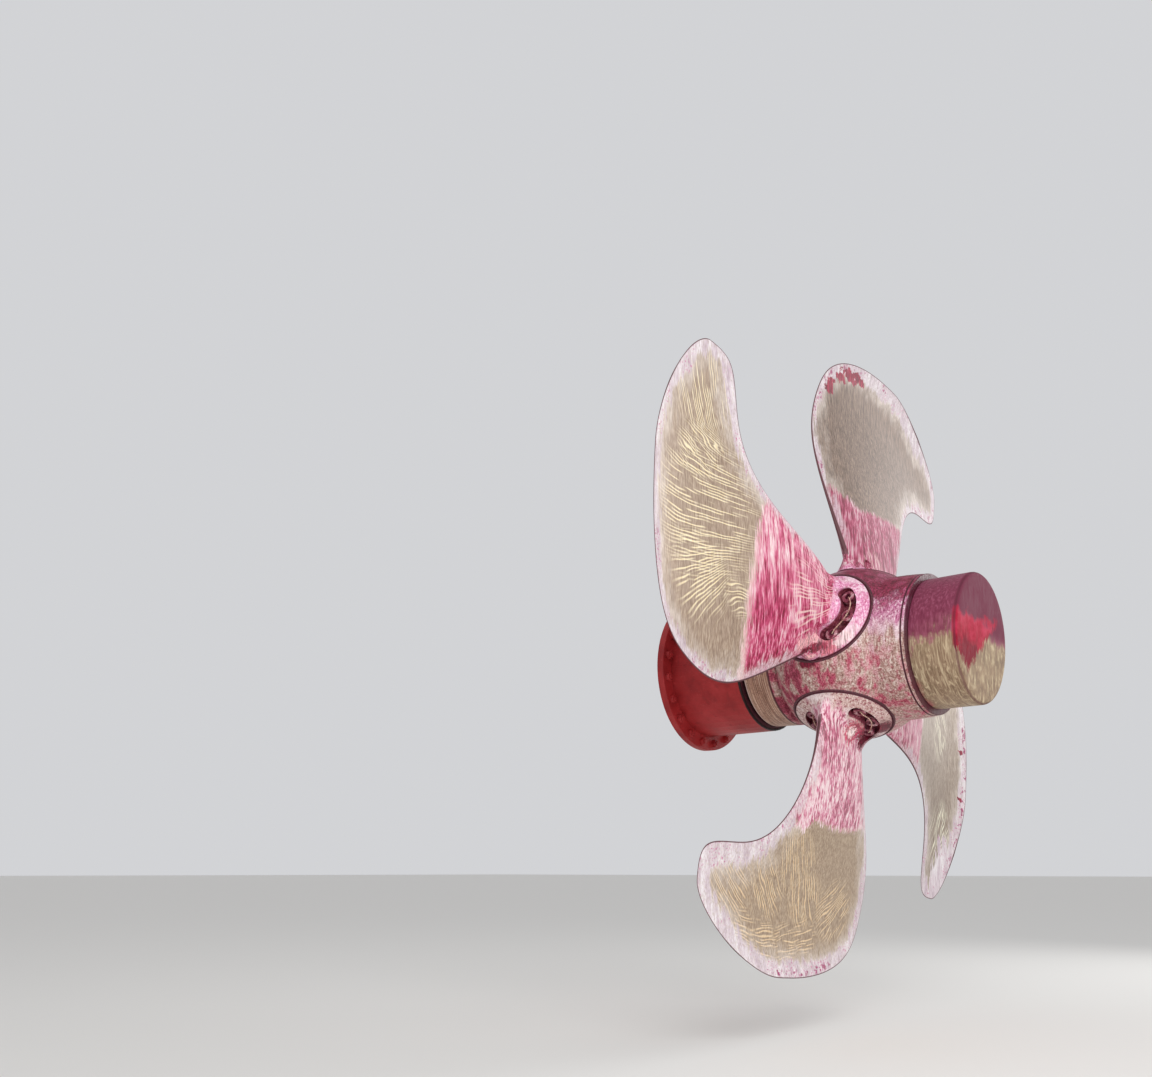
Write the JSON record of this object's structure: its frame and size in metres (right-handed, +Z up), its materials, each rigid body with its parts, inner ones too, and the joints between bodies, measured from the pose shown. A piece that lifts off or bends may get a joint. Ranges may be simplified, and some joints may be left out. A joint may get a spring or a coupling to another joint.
{
  "type": "ship propeller",
  "caption": "Controllable-pitch ship propeller: skewed bronze blades on a round hub, with hub cap, tail shaft end, aft seal, rope guard and flanged stern tube end.",
  "frame": {"origin": "on the forward face of the stern tube flange, straight below the shaft axis, midway across the flange", "axes": "+X aft along the shaft, +Y to starboard, +Z up; the shaft axis runs 0.405 m above the origin"},
  "size_m": [1.8145, 3.679, 3.679],
  "materials": {
    "blade_bronze": "brushed, partly painted",
    "hub_bronze": "cast, stained",
    "ring_bronze": "turned, dull",
    "cap_bronze": "brushed, partly painted",
    "forged_steel": "turned",
    "chrome_steel": "ground",
    "painted_steel": "matt red underwater paint",
    "dark_rubber": "matt",
    "bearing_metal": "bored"
  },
  "bodies": {
    "stern_gear": {"stern_flange": "painted_steel", "stern_tube": "painted_steel", "stern_tube_bush": "bearing_metal", "aft_seal_housing": "dark_rubber", "rope_guard_upper": "painted_steel", "rope_guard_lower": "painted_steel"},
    "rotor": {"propeller_shaft": "forged_steel", "seal_liner": "chrome_steel", "shaft_flange_ring": "ring_bronze", "hub_fore_ring": "hub_bronze", "hub_body": "hub_bronze", "hub_aft_ring": "hub_bronze", "hub_cap": "cap_bronze", "blade_1_seal": "dark_rubber", "blade_2_seal": "dark_rubber", "blade_3_seal": "dark_rubber", "blade_4_seal": "dark_rubber"},
    "first_blade": {"blade_1": "blade_bronze"},
    "second_blade": {"blade_2": "blade_bronze"},
    "third_blade": {"blade_3": "blade_bronze"},
    "fourth_blade": {"blade_4": "blade_bronze"}
  },
  "joints": [
    {"name": "shaft_spin", "type": "hinge", "parent": "stern_gear", "child": "rotor", "pos_m": [1.0759, 0, 0.405], "axis": [1, 0, 0], "continuous": true},
    {"name": "blade_1_pitch", "type": "hinge", "parent": "rotor", "child": "first_blade", "pos_m": [1.0759, 0, 0.405], "axis": [0, 0.9205, -0.3907], "range_deg": [-20, 28]},
    {"name": "blade_2_pitch", "type": "hinge", "parent": "rotor", "child": "second_blade", "pos_m": [1.0759, 0, 0.405], "axis": [0, -0.3907, -0.9205], "range_deg": [-20, 28]},
    {"name": "blade_3_pitch", "type": "hinge", "parent": "rotor", "child": "third_blade", "pos_m": [1.0759, 0, 0.405], "axis": [0, -0.9205, 0.3907], "range_deg": [-20, 28]},
    {"name": "blade_4_pitch", "type": "hinge", "parent": "rotor", "child": "fourth_blade", "pos_m": [1.0759, 0, 0.405], "axis": [0, 0.3907, 0.9205], "range_deg": [-20, 28]}
  ],
  "couplings": [
    {"joint": "blade_2_pitch", "follows": "blade_1_pitch", "ratio": 1},
    {"joint": "blade_3_pitch", "follows": "blade_1_pitch", "ratio": 1},
    {"joint": "blade_4_pitch", "follows": "blade_1_pitch", "ratio": 1}
  ]
}
